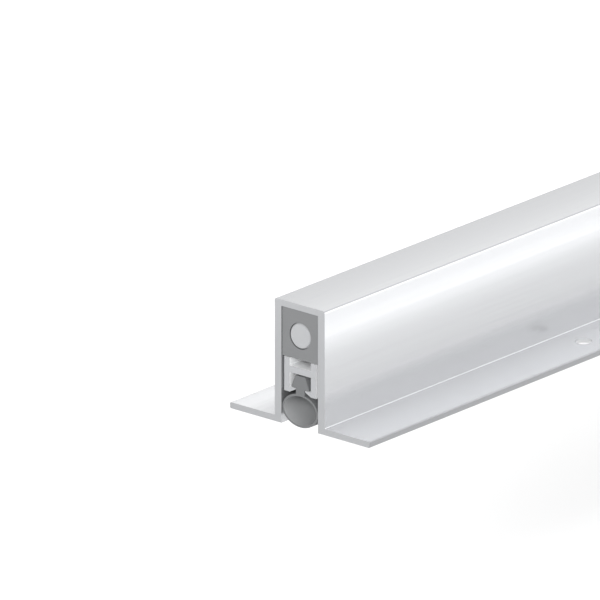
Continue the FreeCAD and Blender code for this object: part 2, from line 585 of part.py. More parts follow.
def make_rods():
    """The actuator, link and tail rods and the rivets that join them to the cam plates."""
    front_in, front_out, rear_in, rear_out = joint_places()
    thread_end = f"({FRONT} + Sizes.button_length)"
    shoulder = f"({thread_end} + 3 * Sizes.fit_gap)"
    thread_tip = f"({thread_end} - {THREAD} + 3 * Sizes.fit_gap)"
    collar_middle = f"({COLLAR_FRONT} + {SPRING_FRONT}) / 2"
    actuator = cut(
        "actuator_rod",
        fuse("actuator_blank", rod("thread_end", "Sizes.thread_diameter", (thread_tip, f"{shoulder} + 1")),
             rod("actuator_shaft", "Sizes.rod_diameter", (shoulder, front_in[0]))),
        fork_slot("actuator_fork", (f"{front_in[1]} - Sizes.fit_gap", f"{front_in[0]} + 1")),
        rivet_hole("actuator_rivet_hole", front_in[2]),
        upright("actuator_pin_hole", "Sizes.collar_pin + 2 * Sizes.pin_gap", collar_middle, "0",
                (f"{AXIS} - Sizes.rod_diameter", f"{AXIS} + Sizes.rod_diameter")),
    )
    sub_part(actuator, "actuator_rod")
    link = cut(
        "link_rod",
        rod("link_shaft", "Sizes.rod_diameter", (front_out[0], rear_in[0])),
        fork_slot("link_front_fork", (f"{front_out[0]} - 1", f"{front_out[1]} + Sizes.fit_gap")),
        fork_slot("link_rear_fork", (f"{rear_in[1]} - Sizes.fit_gap", f"{rear_in[0]} + 1")),
        rivet_hole("link_front_rivet_hole", front_out[2]),
        rivet_hole("link_rear_rivet_hole", rear_in[2]),
    )
    sub_part(link, "link_rod")
    tail = cut(
        "tail_rod",
        rod("tail_shaft", "Sizes.rod_diameter", (rear_out[0], f"{TAIL_BLOCK} + Sizes.block_length / 4")),
        fork_slot("tail_fork", (f"{rear_out[0]} - 1", f"{rear_out[1]} + Sizes.fit_gap")),
        rivet_hole("tail_rivet_hole", rear_out[2]),
    )
    sub_part(tail, "tail_rod")
    flush = "(sqrt(Sizes.rod_diameter ^ 2 - Sizes.rod_rivet ^ 2) / 2)"
    rivets = [
        cross(f"rod_rivet_{i}", "Sizes.rod_rivet", rivet, (f"-{flush}", flush), AXIS)
        for i, (_, _, rivet) in enumerate(joint_places())
    ]
    sub_part(group("rod_rivets", rivets), "rod_rivets")


def make_spring_set():
    """The collar pinned to the actuator rod and the coil spring behind it."""
    wider = "2 * Sizes.pin_gap"
    middle = f"({COLLAR_FRONT} + {SPRING_FRONT}) / 2"
    ring = cut(
        "spring_collar",
        rod("collar_blank", COLLAR_SIZE, (COLLAR_FRONT, SPRING_FRONT)),
        rod("collar_bore", f"Sizes.rod_diameter + {wider}", (f"{COLLAR_FRONT} - 1", f"{SPRING_FRONT} + 1")),
        upright("collar_pin_hole", f"Sizes.collar_pin + {wider}", middle, "0",
                (f"{AXIS} - Sizes.collar_diameter", f"{AXIS} + Sizes.collar_diameter")),
    )
    sub_part(ring, "spring_collar")
    reach = f"({COLLAR_SIZE} / 2 - Sizes.fit_gap)"
    pin = upright("collar_pin", "Sizes.collar_pin", middle, "0",
                  (f"{AXIS} - {reach}", f"{AXIS} + {reach}"))
    sub_part(pin, "collar_pin")

    ends = "(Sizes.spring_wire + 2 * Sizes.fit_gap)"
    mean = f"(({SPRING_SIZE} - Sizes.spring_wire) / 2)"
    helix = DOC.addObject("Part::Helix", "spring_helix")
    bind(helix, Radius=mean, Height=f"Sizes.spring_length - {ends}",
         Pitch=f"(Sizes.spring_length - {ends}) / Sizes.spring_turns")
    wire = DOC.addObject("Part::Circle", "spring_wire_section")
    bind(wire, Radius="Sizes.spring_wire / 2")
    place(wire, mean, "0", "0", FreeCAD.Rotation(FreeCAD.Vector(1, 0, 0), 90))
    coil = DOC.addObject("Part::Sweep", "return_spring")
    coil.Sections = [wire]
    coil.Spine = (helix, [])
    coil.Solid = True
    coil.Frenet = True
    place(coil, f"{SPRING_FRONT} + {ends} / 2", "0", AXIS, ALONG_X)
    sub_part(coil, "return_spring")


def make_cam_plate(name, station, rivets):
    """A flat plate with a tab at each end and a slot that falls by the seal's drop over the travel."""
    body = DOC.addObject("PartDesign::Body", f"{name}_cam_blank")
    x0, x1 = f"({station} - {CAM_AHEAD})", f"({station} + {CAM_BEHIND})"
    tab_low, tab_high = f"({AXIS} - Sizes.tab_height / 2)", f"({AXIS} + Sizes.tab_height / 2)"
    shape = [
        (x0, CAM_UNDER), (x1, CAM_UNDER), (x1, tab_low), (f"{x1} + Sizes.cam_tab", tab_low),
        (f"{x1} + Sizes.cam_tab", tab_high), (x1, tab_high), (x1, CAM_TOP), (x0, CAM_TOP), (x0, tab_high),
        (f"{x0} - Sizes.cam_tab", tab_high), (f"{x0} - Sizes.cam_tab", tab_low), (x0, tab_low),
    ]
    pad(body, outline(body, "XZ_Plane", f"{name}_cam_outline", shape), "Sizes.cam_thick")
    slot = DOC.addObject("PartDesign::Body", f"{name}_cam_slot")
    run = f"sqrt(Sizes.press_travel ^ 2 + {SEAL_DROP} ^ 2)"
    dx = f"({SLOT_RADIUS} * {SEAL_DROP} / {run})"
    dz = f"({SLOT_RADIUS} * Sizes.press_travel / {run})"
    low_x = f"({station} - Sizes.press_travel)"
    corners = [
        (f"{station} - {dx}", f"{PIN_REST} + {dz}"), (f"{low_x} - {dx}", f"{PIN_LOW} + {dz}"),
        (f"{low_x} + {dx}", f"{PIN_LOW} - {dz}"), (f"{station} + {dx}", f"{PIN_REST} - {dz}"),
    ]
    pad(slot, outline(slot, "XZ_Plane", f"{name}_slot_outline", corners), "2 * Sizes.cam_thick")
    through = ("-Sizes.cam_thick", "Sizes.cam_thick")
    plate = cut(
        f"{name}_cam_plate",
        body,
        slot,
        cross(f"{name}_slot_top", f"2 * {SLOT_RADIUS}", station, through, PIN_REST),
        cross(f"{name}_slot_foot", f"2 * {SLOT_RADIUS}", low_x, through, PIN_LOW),
        *[rivet_hole(f"{name}_tab_hole_{i}", rivet) for i, rivet in enumerate(rivets)],
    )
    sub_part(plate, f"{name}_cam_plate")


# --------------------------------------------------------------------------------------------------
# Lifting lugs, riveted to the carrier's web, and their cross pins
# --------------------------------------------------------------------------------------------------
def lug_rivet_places():
    """(x, y) of the rivets that hold the lifting lugs to the carrier's web."""
    reach = "(Sizes.lug_base - Sizes.lug_foot) / 2"
    return [
        (f"{station} {end} {reach}", f"{side} * {RIVET_SIDE}")
        for _, station in STATIONS for end in "-+" for _, side in SIDES
    ]


def make_lug(name, station, hand, side, index):
    """One lug: an upright ear on a flat foot that widens at both ends for the rivets."""
    def beside(low, high):
        return (low, high) if side > 0 else (f"-{high}", f"-{low}")

    floor = (WEB_TOP, f"{WEB_TOP} + Sizes.lug_thick")
    base, foot = "Sizes.lug_base / 2", "Sizes.lug_foot"
    strip_x = (f"{station} - {base}", f"{station} + {base}")
    label = f"{name}_lifting_lug_{hand}"
    ear_top = f"({PIN_REST} + Sizes.cross_pin / 2 + Sizes.lug_thick)"
    ear_x = (f"{station} - Sizes.lug_width / 2", f"{station} + Sizes.lug_width / 2")
    blank = fuse(
        label + "_blank",
        box(label + "_ear", ear_x, beside(LUG_IN, LUG_OUT), (WEB_TOP, ear_top)),
        box(label + "_strip", strip_x, beside(LUG_IN, LUG_OUT), floor),
        box(label + "_foot_ahead", (f"{station} - {base}", f"{station} - {base} + {foot}"),
            beside(LUG_IN, FOOT_OUT), floor),
        box(label + "_foot_behind", (f"{station} + {base} - {foot}", f"{station} + {base}"),
            beside(LUG_IN, FOOT_OUT), floor),
    )
    tools = [cross(label + "_pin_hole", "Sizes.cross_pin + 2 * Sizes.pin_gap", station,
                   (f"-{CARRIER_SIDE}", CARRIER_SIDE), PIN_REST)]
    for i, (x, y) in enumerate(lug_rivet_places()[index:index + 4]):
        hole = "Sizes.lug_rivet + 2 * Sizes.pin_gap"
        tools.append(upright(f"{label}_rivet_hole_{i}", hole, x, y, (f"{WEB_TOP} - 1", f"{WEB_TOP} + 2")))
    sub_part(cut(label, blank, *tools), label)


def make_lifting_gear():
    """At each station a cam plate, a pair of lugs and their cross pin, and then the lugs' rivets."""
    for index, (name, station) in enumerate(STATIONS):
        make_cam_plate(name, station, [ends[2] for ends in joint_places()[2 * index:2 * index + 2]])
        for hand, side in SIDES:
            make_lug(name, station, hand, side, 4 * index)
        pin = cross(f"{name}_cross_pin", "Sizes.cross_pin", station, (f"-{FOOT_OUT}", FOOT_OUT), PIN_REST)
        sub_part(pin, f"{name}_cross_pin")
    rivets = []
    top = f"({WEB_TOP} + Sizes.lug_thick)"
    for i, (x, y) in enumerate(lug_rivet_places()):
        shank_z = (WEB_UNDER, f"{top} + Sizes.fit_gap")
        head_z = (top, f"{top} + Sizes.lug_thick / 2")
        shank = upright(f"lug_rivet_{i}_shank", "Sizes.lug_rivet", x, y, shank_z)
        head = upright(f"lug_rivet_{i}_head", "Sizes.rivet_head", x, y, head_z)
        rivets.append(fuse(f"lug_rivet_{i}", shank, head))
    sub_part(group("lug_rivets", rivets), "lug_rivets")


# --------------------------------------------------------------------------------------------------
# Build, check and write
# --------------------------------------------------------------------------------------------------
def check_and_write():
    """Stops on any failed object or bad shape, and writes one STEP file for each sub-part."""
    DOC.recompute()
    failed = [o.Label for o in DOC.Objects if {"Invalid", "Error"} & set(o.State)]
    if failed:
        raise SystemExit(f"failed objects: {failed}")
    for piece in SUB_PARTS:
        shape = piece.Shape
        if shape.isNull() or not shape.isValid() or not shape.Solids:
            raise SystemExit(f"{piece.Label} has no valid solid")
    os.makedirs("parts", exist_ok=True)
    for piece in SUB_PARTS:
        piece.Shape.exportStep(os.path.join("parts", piece.Label + ".step"))
        bounds = piece.Shape.BoundBox
        print(f"{piece.Label:28s} solids {len(piece.Shape.Solids)} volume {piece.Shape.Volume:10.2f} "
              f"x {bounds.XMin:8.2f} {bounds.XMax:8.2f} y {bounds.YMin:6.2f} {bounds.YMax:6.2f} "
              f"z {bounds.ZMin:6.2f} {bounds.ZMax:6.2f}")


make_housing()
make_carrier()
make_seal()
make_blocks()
make_block_screws()
make_button()
make_rods()
make_spring_set()
make_lifting_gear()
check_and_write()
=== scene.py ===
"""Looks of a flanged drop-down door seal, built around its packed mechanical frame.

The frame gives every metal and plastic piece at its true place and size. This script gives each of
them its finish, makes the rubber seal and the coil spring as fine surfaces of their own, and sets up a
pale studio. Lengths are in metres. X runs along the seal with the button at the -X end, Y across the
door leaf, and +Z is up.
"""

import logging
import math
from dataclasses import dataclass
from enum import Enum
from typing import Any, Optional, Sequence

import bpy
import numpy as np
from mathutils import Matrix, Vector

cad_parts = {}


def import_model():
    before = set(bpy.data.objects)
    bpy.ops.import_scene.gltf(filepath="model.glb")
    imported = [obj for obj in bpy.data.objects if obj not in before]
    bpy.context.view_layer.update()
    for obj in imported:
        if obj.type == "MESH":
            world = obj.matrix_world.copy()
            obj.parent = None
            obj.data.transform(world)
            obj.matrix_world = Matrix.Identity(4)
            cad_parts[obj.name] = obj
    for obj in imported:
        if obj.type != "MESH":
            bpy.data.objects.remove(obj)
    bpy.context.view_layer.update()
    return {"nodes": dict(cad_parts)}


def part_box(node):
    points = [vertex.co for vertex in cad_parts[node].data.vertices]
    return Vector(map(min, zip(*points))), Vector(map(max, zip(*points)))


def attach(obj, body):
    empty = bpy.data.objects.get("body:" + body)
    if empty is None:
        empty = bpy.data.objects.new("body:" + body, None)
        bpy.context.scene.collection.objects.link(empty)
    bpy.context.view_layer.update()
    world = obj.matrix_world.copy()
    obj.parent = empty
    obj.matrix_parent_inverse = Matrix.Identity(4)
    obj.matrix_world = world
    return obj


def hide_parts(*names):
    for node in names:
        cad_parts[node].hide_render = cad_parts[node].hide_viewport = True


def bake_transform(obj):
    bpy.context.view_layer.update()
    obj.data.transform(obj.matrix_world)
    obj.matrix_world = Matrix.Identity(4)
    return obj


LOG = logging.getLogger("drop_seal")
MM = 0.001
# How far inside a piece's last face its end colour starts, so that it takes in the face alone
END_SKIN = 0.02 * MM


# --------------------------------------------------------------------------------------------------
# Helpers
# --------------------------------------------------------------------------------------------------
def linear(code: str) -> tuple[float, float, float, float]:
    """Turns an sRGB hex colour into a linear one.

    Args:
        code: Six hex digits, with or without a leading hash.

    Returns:
        Linear red, green, blue and an alpha of 1. Each channel c becomes c / 12.92 below 0.04045, and
        ((c + 0.055) / 1.055) to the power 2.4 above it.
    """
    digits = code.lstrip("#")
    channels = [int(digits[i:i + 2], 16) / 255 for i in (0, 2, 4)]
    red, green, blue = [c / 12.92 if c <= 0.04045 else ((c + 0.055) / 1.055) ** 2.4 for c in channels]
    return red, green, blue, 1.0


def add_node(tree: bpy.types.NodeTree, kind: str, links: Optional[dict[Any, Any]] = None,
             **settings: Any) -> bpy.types.Node:
    """Adds a shader node, sets its properties, and fills or links its inputs.

    Args:
        tree: The node tree that it goes into.
        kind: The node's type name, such as "ShaderNodeMath".
        links: Input name or number to a value, or to an output socket of another node.
        **settings: Properties of the node itself, such as operation="ADD".

    Returns:
        The new node.
    """
    made = tree.nodes.new(kind)
    for name, value in settings.items():
        setattr(made, name, value)
    for key, value in (links or {}).items():
        if isinstance(value, bpy.types.NodeSocket):
            tree.links.new(value, made.inputs[key])
        else:
            made.inputs[key].default_value = value
    return made


def mesh_object(name: str, points: np.ndarray, faces: Sequence[Sequence[int]],
                smooth_angle: float) -> bpy.types.Object:
    """Puts worked-out points and faces into a new object at the origin.

    Args:
        name: The piece's name.
        points: An (n, 3) array of places in metres.
        faces: Corner numbers of each face, anticlockwise from outside.
        smooth_angle: Edges that turn by more than this many degrees stay sharp.

    Returns:
        The linked object, smooth shaded apart from its sharp edges.
    """
    mesh = bpy.data.meshes.new(name)
    mesh.from_pydata(points.tolist(), [], [list(face) for face in faces])
    mesh.validate()
    mesh.shade_smooth()
    mesh.set_sharp_from_angle(angle=math.radians(smooth_angle))
    made = bpy.data.objects.new(name, mesh)
    bpy.context.scene.collection.objects.link(made)
    return made


def ring_faces(rows: int, columns: int, first: int = 0, inward: bool = False) -> np.ndarray:
    """Quads between neighbouring rows of a grid whose columns close on themselves.

    Args:
        rows: Number of rows, each a closed ring.
        columns: Number of points in a ring.
        first: Number of the grid's first point in the mesh.
        inward: Whether the faces look the other way, as in a bore.

    Returns:
        An array of quads: corner (i, j), (i, j + 1), (i + 1, j + 1), (i + 1, j), with j counted round
        the ring, or the same backwards if they look inward.
    """
    i, j = np.meshgrid(np.arange(rows - 1), np.arange(columns), indexing="ij")
    k = (j + 1) % columns
    quads = np.stack([i * columns + j, i * columns + k, (i + 1) * columns + k, (i + 1) * columns + j], -1)
    quads = quads.reshape(-1, 4) + first
    return quads[:, ::-1] if inward else quads


def dress(node: bpy.types.Object, material: bpy.types.Material) -> None:
    """Gives an object one material in place of those it has."""
    node.data.materials.clear()
    node.data.materials.append(material)


# --------------------------------------------------------------------------------------------------
# Finishes
# --------------------------------------------------------------------------------------------------
class Slot(Enum):
    """The record's material slots for the seal and the spring; the made pieces get materials of their own.
    """

    SEAL = "seal_rubber"
    SPRING = "spring_steel"


@dataclass(frozen=True)
class Finish:
    """A surface finish: its name, colour and how shiny it is.

    Attributes:
        name: The material's name.
        colour: Its sRGB hex colour.
        roughness: From 0, a mirror, to 1, chalk.
        metallic: 1 for a bare metal.
    """

    name: str
    colour: str
    roughness: float
    metallic: float = 0.0

    def start(self) -> tuple[bpy.types.Material, bpy.types.NodeTree, bpy.types.Node]:
        """Makes the material with its shader.

        Returns:
            The material, its node tree and its Principled shader with this finish's plain values.
        """
        material = bpy.data.materials.new(self.name)
        material.use_nodes = True
        tree = material.node_tree
        tree.nodes.clear()
        shader = add_node(tree, "ShaderNodeBsdfPrincipled", {
            "Base Color": linear(self.colour), "Roughness": self.roughness, "Metallic": self.metallic})
        add_node(tree, "ShaderNodeOutputMaterial", {"Surface": shader.outputs["BSDF"]})
        return material, tree, shader

    @staticmethod
    def noise(tree: bpy.types.NodeTree, grain: Sequence[float], detail: float) -> bpy.types.NodeSocket:
        """A noise over the piece.

        Args:
            tree: The material's node tree.
            grain: Size of the noise's grains along X, Y and Z, in millimetres.
            detail: How many finer layers it has.

        Returns:
            Its value, mostly between 0.3 and 0.7. It has one cycle per grain of Object coordinates.
        """
        where = add_node(tree, "ShaderNodeTexCoord")
        scaled = add_node(tree, "ShaderNodeMapping", {
            "Vector": where.outputs["Object"], "Scale": tuple(1 / (size * MM) for size in grain)})
        return add_node(tree, "ShaderNodeTexNoise", {
            "Vector": scaled.outputs["Vector"], "Scale": 1.0, "Detail": detail}).outputs["Fac"]

    @staticmethod
    def beyond(tree: bpy.types.NodeTree, axis: str, distance: float) -> bpy.types.NodeSocket:
        """1 further than a distance from the middle plane of an axis, and 0 nearer."""
        where = add_node(tree, "ShaderNodeTexCoord")
        parts = add_node(tree, "ShaderNodeSeparateXYZ", {0: where.outputs["Object"]})
        size = add_node(tree, "ShaderNodeMath", {0: parts.outputs[axis]}, operation="ABSOLUTE")
        return add_node(tree, "ShaderNodeMath", {0: size.outputs[0], 1: distance},
                        operation="GREATER_THAN").outputs[0]

    @staticmethod
    def blend(tree: bpy.types.NodeTree, share: Any, low: Any, high: Any) -> bpy.types.NodeSocket:
        """A colour between two, by a share from 0 to 1."""
        return add_node(tree, "ShaderNodeMix", {"Factor": share, "A": low, "B": high},
                        data_type="RGBA").outputs[2]

    @staticmethod
    def spread(tree: bpy.types.NodeTree, source: bpy.types.NodeSocket, low: float,
               high: float) -> bpy.types.NodeSocket:
        """Turns a noise's middle range, 0.3 to 0.7, into a range of its own."""
        return add_node(tree, "ShaderNodeMapRange", {
            "Value": source, "From Min": 0.3, "From Max": 0.7, "To Min": low,
            "To Max": high}).outputs["Result"]

    @staticmethod
    def bump(tree: bpy.types.NodeTree, shader: bpy.types.Node, height: bpy.types.NodeSocket,
             strength: float, depth: float) -> None:
        """Gives a shader relief from a height.

        Args:
            tree: The material's node tree.
            shader: Its Principled shader.
            height: The height, from 0 to 1.
            strength: The share of the relief that shows.
            depth: What a height of 1 stands for, in millimetres.
        """
        relief = add_node(tree, "ShaderNodeBump", {
            "Height": height, "Strength": strength, "Distance": depth * MM})
        tree.links.new(relief.outputs["Normal"], shader.inputs["Normal"])


@dataclass(frozen=True)
class ExtrudedAluminium(Finish):
    """Aluminium drawn through a die: satin, with fine lines along its length and dull sawn ends.

    Real die lines are a few hundredths of a millimetre apart. They are drawn coarser, so that they show.

    Attributes:
        line_spacing: Distance between die lines, in millimetres.
        line_depth: Depth of the lines, in millimetres.
        streak_length: How far a line runs before it fades, in millimetres.
        tone: How much the lines lighten and darken the colour, as a second hex colour.
        sawn: Hex colour of the sawn ends.
        sawn_from: Distance from the middle, in metres, beyond which a face is a sawn end.
        edge: Hex colour of the painted shade on the flange tips, for the dark floor they reflect, or None.
        tip_shade_from: Distance from the middle plane beyond which a face is a flange tip and takes the
            painted shade, in metres.
    """

    line_spacing: float = 0.7
    line_depth: float = 0.015
    streak_length: float = 90.0
    tone: str = "#D2D3D5"
    sawn: str = "#BEC0C2"
    sawn_from: float = 1.0
    edge: Optional[str] = None
    tip_shade_from: float = 1.0

    def material(self) -> bpy.types.Material:
        """Builds the material.

        Returns:
            A metal whose tone, roughness and height follow noise stretched along X, one grain per line
            spacing across and per streak length along. Its ends follow a noise that is stretched
            upwards, as a saw leaves them, and are duller.
        """
        material, tree, shader = self.start()
        gap = self.line_spacing
        lines = self.noise(tree, (self.streak_length, gap, gap), 3.0)
        cuts = self.noise(tree, (gap, gap / 2, gap * 8), 2.0)
        end = self.beyond(tree, "X", self.sawn_from)
        colour = self.blend(tree, self.spread(tree, lines, 0, 1), linear(self.colour), linear(self.tone))
        colour = self.blend(tree, end, colour, linear(self.sawn))
        # Painted shade: the flange tips are darkened, standing for the dark floor gap that they reflect.
        if self.edge is not None:
            colour = self.blend(tree, self.beyond(tree, "Y", self.tip_shade_from), colour, linear(self.edge))
        tree.links.new(colour, shader.inputs["Base Color"])
        rough = self.spread(tree, lines, self.roughness - 0.01, self.roughness + 0.02)
        dull = self.spread(tree, cuts, self.roughness + 0.12, self.roughness + 0.22)
        mixed = add_node(tree, "ShaderNodeMix", {"Factor": end, "A": rough, "B": dull})
        tree.links.new(mixed.outputs[0], shader.inputs["Roughness"])
        height = add_node(tree, "ShaderNodeMix", {"Factor": end, "A": lines, "B": cuts})
        self.bump(tree, shader, height.outputs[0], 0.05, self.line_depth)
        return material


@dataclass(frozen=True)
class MouldedPlastic(Finish):
    """A moulded or turned thermoplastic: an even colour with a fine grain.

    Attributes:
        grain: Size of the mould's texture, in millimetres.
        depth: Depth of that texture, in millimetres.
        mottle: Hex colour that the plain colour drifts towards.
        drift: How far it takes to drift, in millimetres.
    """

    grain: float = 0.3
    depth: float = 0.01
    mottle: str = "#808080"
    drift: float = 8.3

    def material(self) -> bpy.types.Material:
        """Builds the material.

        Returns:
            A plastic with an even fine noise for its grain, and a slow one for its drift in tone.
        """
        material, tree, shader = self.start()
        grain = self.noise(tree, [self.grain] * 3, 2.0)
        drift = self.noise(tree, [self.drift] * 3, 2.0)
        colour = self.blend(tree, self.spread(tree, drift, 0, 1), linear(self.colour), linear(self.mottle))
        tree.links.new(colour, shader.inputs["Base Color"])
        rough = self.spread(tree, grain, self.roughness - 0.05, self.roughness + 0.08)
        tree.links.new(rough, shader.inputs["Roughness"])
        self.bump(tree, shader, grain, 0.35, self.depth)
        return material


@dataclass(frozen=True)
class ExtrudedRubber(Finish):
    """Soft extruded rubber: matt, with faint flow lines along it and a slight waxy bloom.

    Attributes:
        bloom: Hex colour of the waxy bloom.
        patch_length: Length of a patch of bloom, in millimetres.
        patch_width: Width of a patch.
        line_spacing: Distance between flow lines, in millimetres.
        line_length: How far a line runs before it fades.
        line_depth: Depth of the lines.
        sheen: Strength of its shine, where 0.5 is plain plastic.
    """

    bloom: str = "#8E8F91"
    patch_length: float = 11.0
    patch_width: float = 5.0
    line_spacing: float = 0.6
    line_length: float = 40.0
    line_depth: float = 0.06
    sheen: float = 0.35

    def material(self) -> bpy.types.Material:
        """Builds the material.

        Returns:
            A rough dielectric with noise stretched along X for its flow lines, and a slow noise for
            the bloom.
        """
        material, tree, shader = self.start()
        lines = self.noise(tree, (self.line_length, self.line_spacing, self.line_spacing), 3.0)
        patches = self.noise(tree, (self.patch_length, self.patch_width, self.patch_width), 3.0)
        colour = self.blend(tree, self.spread(tree, patches, 0, 0.5), linear(self.colour),
                            linear(self.bloom))
        tree.links.new(colour, shader.inputs["Base Color"])
        rough = self.spread(tree, patches, self.roughness - 0.08, self.roughness + 0.08)
        tree.links.new(rough, shader.inputs["Roughness"])
        self.bump(tree, shader, lines, 0.3, self.line_depth)
        shader.inputs["Specular IOR Level"].default_value = self.sheen
        return material


@dataclass(frozen=True)
class PlatedSteel(Finish):
    """Bright zinc plate or drawn wire over steel: shiny with a faint cloudiness.

    Attributes:
        cloud: Hex colour of the plate's cloudy patches.
        cloud_size: Size of a patch, in millimetres.
        wear_length: Length of the fine marks of handling, in millimetres.
        wear_width: Width of those marks.
    """

    cloud: str = "#B4B7BC"
    cloud_size: float = 2.9
    wear_length: float = 2.0
    wear_width: float = 0.4

    def material(self) -> bpy.types.Material:
        """Builds the material.

        Returns:
            A metal with a slow noise in its colour and a finer one in its roughness.
        """
        material, tree, shader = self.start()
        clouds = self.noise(tree, [self.cloud_size] * 3, 3.0)
        wear = self.noise(tree, (self.wear_length, self.wear_width, self.wear_width), 2.0)
        colour = self.blend(tree, self.spread(tree, clouds, 0, 1), linear(self.colour), linear(self.cloud))
        tree.links.new(colour, shader.inputs["Base Color"])
        rough = self.spread(tree, wear, self.roughness - 0.06, self.roughness + 0.1)
        tree.links.new(rough, shader.inputs["Roughness"])
        return material


# --------------------------------------------------------------------------------------------------
# Sub-assemblies
# --------------------------------------------------------------------------------------------------
@dataclass
class SubAssembly:
    """A group of frame nodes that share finishes.

    Attributes:
        nodes: All the frame's nodes by name.
    """

    nodes: dict[str, bpy.types.Object]

    def finish(self, names: Sequence[str], material: bpy.types.Material) -> None:
        """Dresses the named nodes and reports each."""
        for name in names:
            dress(self.nodes[name], material)
            LOG.info("%s: %s", name, material.name)


@dataclass
class Housing(SubAssembly):
    """The flanged channel.

    Attributes:
        tip_shade_depth: How far in from a flange's tip the painted shade on its tip reaches.
    """

    tip_shade_depth: float = 0.25 * MM

    def build(self) -> None:
        """Gives the channel its anodised finish."""
        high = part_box("housing")[1]
        # Natural anodised aluminium, extruded: a silvery satin that spreads a light into a soft band.
        # The clear anodic layer scatters a little, so it isn't all metal. The cut ends are greyer.
        # Painted shade: the flange tips are darker, for the dark floor that they reflect.
        anodised = ExtrudedAluminium(
            name="natural_anodised_aluminium", colour="#BBBCBE", tone="#B8B9BB", roughness=0.22,
            metallic=0.8, sawn="#A2A3A5", sawn_from=high.x - END_SKIN, edge="#97989A",
            tip_shade_from=high.y - self.tip_shade_depth)
        self.finish(["housing"], anodised.material())


@dataclass
class GuideBlocks(SubAssembly):
    """The moulded blocks that are screwed inside the channel.

    Attributes:
        block_nodes: Names of the moulded pieces.
    """

    block_nodes: tuple[str, ...] = (
        "end_guide_block", "rear_guide_block", "spring_seat", "front_lift_guide", "rear_lift_guide")

    def build(self) -> None:
        """Gives the blocks their moulded nylon."""
        # Glass-filled nylon, injection moulded: mid grey, matt, with a fine even grain.
        nylon = MouldedPlastic(name="moulded_grey_nylon", colour="#5C5D5E", mottle="#5E5F60",
                               roughness=0.6, grain=0.25, depth=0.012)
        self.finish(self.block_nodes, nylon.material())


@dataclass
class RodTrain(SubAssembly):
    """The button, the rods and the cam plates, the steel gear that they lower, and the steel screws.

    Attributes:
        steel_nodes: Names of the zinc-plated pieces.
    """

    steel_nodes: tuple[str, ...] = (
        "actuator_rod", "link_rod", "tail_rod", "rod_rivets", "spring_collar", "collar_pin",
        "front_cam_plate", "rear_cam_plate", "front_lifting_lug_left", "front_lifting_lug_right",
        "rear_lifting_lug_left", "rear_lifting_lug_right", "front_cross_pin", "rear_cross_pin",
        "lug_rivets", "block_screws")

    def build(self) -> None:
        """Gives the button its acetal and everything else its zinc plate."""
        # Acetal rod, turned: light grey, satin, with a slight depth.
        acetal = MouldedPlastic(name="turned_grey_acetal", colour="#848587", mottle="#878889",
                                roughness=0.45, grain=0.5, depth=0.005)
        self.finish(["release_button"], acetal.material())
        # Mild steel with bright zinc plate: cool, shiny, a little cloudy.
        zinc = PlatedSteel(name="bright_zinc_plate", colour="#C9CBD0", roughness=0.28, metallic=1.0)
        self.finish(self.steel_nodes, zinc.material())


